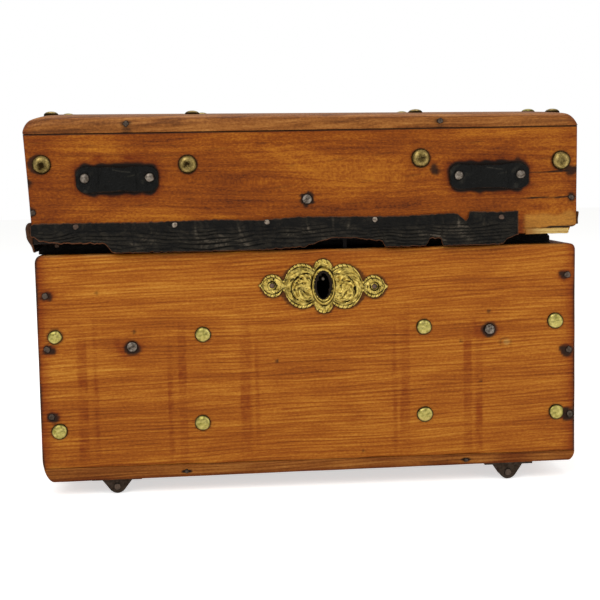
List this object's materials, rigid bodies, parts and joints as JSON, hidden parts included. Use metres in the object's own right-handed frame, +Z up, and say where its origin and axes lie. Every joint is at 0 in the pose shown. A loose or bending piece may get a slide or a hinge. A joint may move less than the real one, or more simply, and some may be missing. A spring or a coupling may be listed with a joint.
{
  "type": "document box",
  "caption": "Small antique pine document box with a hinged domed lid, box lock and brass escutcheon, leather strap keepers and dust flap, on four iron rollers.",
  "frame": {"origin": "under the middle of the box's bounding box, on the surface that its rollers stand on", "axes": "+Z up; the front with the lock and the strap keepers faces -Y; +X is to the right seen from the front"},
  "size_m": [0.3778, 0.2402, 0.2666],
  "materials": {
    "pine_body": "waxed golden pine with ghost strap stains, satin",
    "pine_lid": "waxed red-brown pine, satin",
    "pine_top": "darkened pine, rounded edges, satin",
    "pine_bottom": "dark unpolished pine, matt",
    "leather_black": "cracked black leather with worn brown edges",
    "brass_aged": "aged brass nail heads with olive patina",
    "brass_gilt": "stamped gilt brass, dark in the hollows",
    "iron_dark": "dark rusted iron",
    "steel_grey": "dull grey steel"
  },
  "bodies": {
    "body": {"body_front_board": "pine_body", "body_back_board": "pine_body", "body_left_board": "pine_body", "body_right_board": "pine_body", "bottom_board": "pine_bottom", "lip_front": "leather_black", "lip_back": "leather_black", "lip_left": "leather_black", "lip_right": "leather_black", "lock_case": "iron_dark", "lock_cap": "steel_grey", "escutcheon": "brass_gilt", "escutcheon_pin_left": "brass_aged", "escutcheon_pin_right": "brass_aged", "body_nail_upper_left": "brass_aged", "body_nail_upper_mid_left": "brass_aged", "body_nail_upper_mid_right": "brass_aged", "body_nail_upper_right": "brass_aged", "body_nail_lower_left": "brass_aged", "body_nail_lower_mid_left": "brass_aged", "body_nail_lower_mid_right": "brass_aged", "body_nail_lower_right": "brass_aged", "body_screw_left": "steel_grey", "body_screw_right": "steel_grey", "hinge_body_leaf_left": "iron_dark", "hinge_body_leaf_right": "iron_dark", "roller_bracket_front_left": "iron_dark", "roller_bracket_back_left": "iron_dark", "roller_bracket_front_right": "iron_dark", "roller_bracket_back_right": "iron_dark"},
    "lid": {"lid_front_board": "pine_lid", "lid_back_board": "pine_lid", "lid_left_board": "pine_lid", "lid_right_board": "pine_lid", "lid_top_board": "pine_top", "leather_flap_front": "leather_black", "leather_flap_left": "leather_black", "leather_flap_right": "leather_black", "leather_loop_left": "leather_black", "leather_loop_right": "leather_black", "loop_rivet_left_outer": "steel_grey", "loop_rivet_left_inner": "steel_grey", "loop_rivet_right_outer": "steel_grey", "loop_rivet_right_inner": "steel_grey", "lid_nail_left": "brass_aged", "lid_nail_mid_left": "brass_aged", "lid_nail_mid_right": "brass_aged", "lid_nail_right": "brass_aged", "top_nail_left": "brass_aged", "top_nail_mid_left": "brass_aged", "top_nail_mid_right": "brass_aged", "top_nail_right": "brass_aged", "lock_link_plate": "steel_grey", "hinge_lid_leaf_left": "iron_dark", "hinge_lid_leaf_right": "iron_dark"},
    "bolt": {"lock_bolt": "steel_grey"},
    "front_left_roller": {"roller_front_left": "iron_dark"},
    "back_left_roller": {"roller_back_left": "iron_dark"},
    "front_right_roller": {"roller_front_right": "iron_dark"},
    "back_right_roller": {"roller_back_right": "iron_dark"}
  },
  "joints": [
    {"name": "lid_hinge", "type": "hinge", "parent": "body", "child": "lid", "pos_m": [0, 0.1171, 0.1699], "axis": [-1, 0, 0], "range_deg": [0, 100]},
    {"name": "bolt_slide", "type": "slide", "parent": "body", "child": "bolt", "axis": [1, 0, 0], "range_m": [0, 0.007]},
    {"name": "roller_spin_front_left", "type": "hinge", "parent": "body", "child": "front_left_roller", "pos_m": [-0.13468, -0.1033, 0.005], "axis": [0, 1, 0], "continuous": true},
    {"name": "roller_spin_back_left", "type": "hinge", "parent": "body", "child": "back_left_roller", "pos_m": [-0.13468, 0.1115, 0.005], "axis": [0, 1, 0], "continuous": true},
    {"name": "roller_spin_front_right", "type": "hinge", "parent": "body", "child": "front_right_roller", "pos_m": [0.13932, -0.1033, 0.005], "axis": [0, 1, 0], "continuous": true},
    {"name": "roller_spin_back_right", "type": "hinge", "parent": "body", "child": "back_right_roller", "pos_m": [0.13932, 0.1115, 0.005], "axis": [0, 1, 0], "continuous": true}
  ]
}
